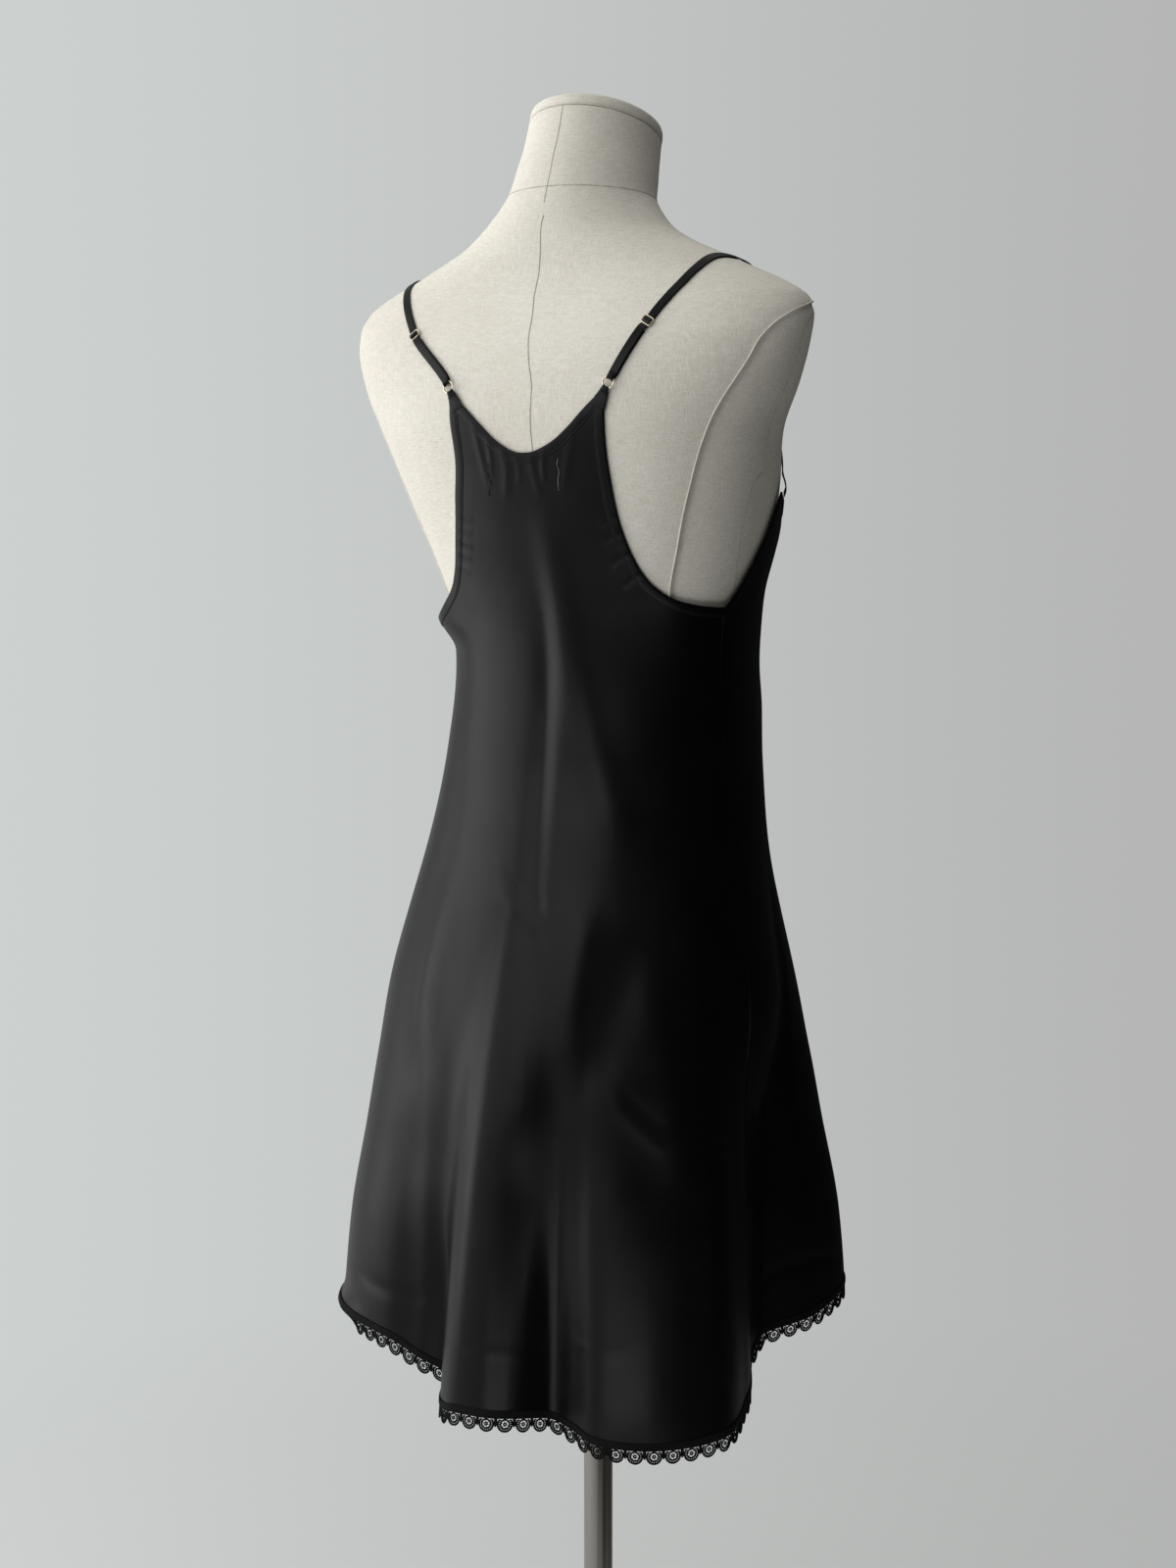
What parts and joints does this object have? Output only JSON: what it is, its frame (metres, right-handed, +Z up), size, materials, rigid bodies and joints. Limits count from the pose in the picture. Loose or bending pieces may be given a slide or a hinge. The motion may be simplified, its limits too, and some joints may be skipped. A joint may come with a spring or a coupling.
{
  "type": "slip dress on a dress form",
  "caption": "Short satin slip dress with a racer back, thin adjustable straps and a scalloped lace hem, hanging on a limbless dress form with a pole and a round base.",
  "frame": {"origin": "centre of the flat underside of the stand's round base", "axes": "+Z up along the pole; the front of the dress faces -Y and the wearer's left is +X"},
  "size_m": [0.4187, 0.3895, 1.4922],
  "materials": {
    "black_satin": "soft satin sheen",
    "black_lace": "matt cotton guipure",
    "cream_linen": "matt plain weave",
    "varnished_wood": "satin varnish",
    "brushed_steel": "brushed along its length",
    "pale_gilt": "polished pale gold plating"
  },
  "bodies": {
    "root": {"dress_back": "black_satin", "dress_front": "black_satin", "binding_neck_back": "black_satin", "binding_neck_front": "black_satin", "binding_armhole_left": "black_satin", "binding_armhole_right": "black_satin", "tab_left": "black_satin", "tab_right": "black_satin", "strap_left": "black_satin", "strap_right": "black_satin", "lace_back": "black_lace", "lace_front": "black_lace", "ring_left": "pale_gilt", "ring_right": "pale_gilt", "slider_left": "pale_gilt", "slider_right": "pale_gilt", "form_torso": "cream_linen", "form_neck_cap": "cream_linen", "form_socket": "varnished_wood", "form_pole": "brushed_steel", "form_boss": "brushed_steel", "form_base": "brushed_steel"}
  },
  "joints": []
}
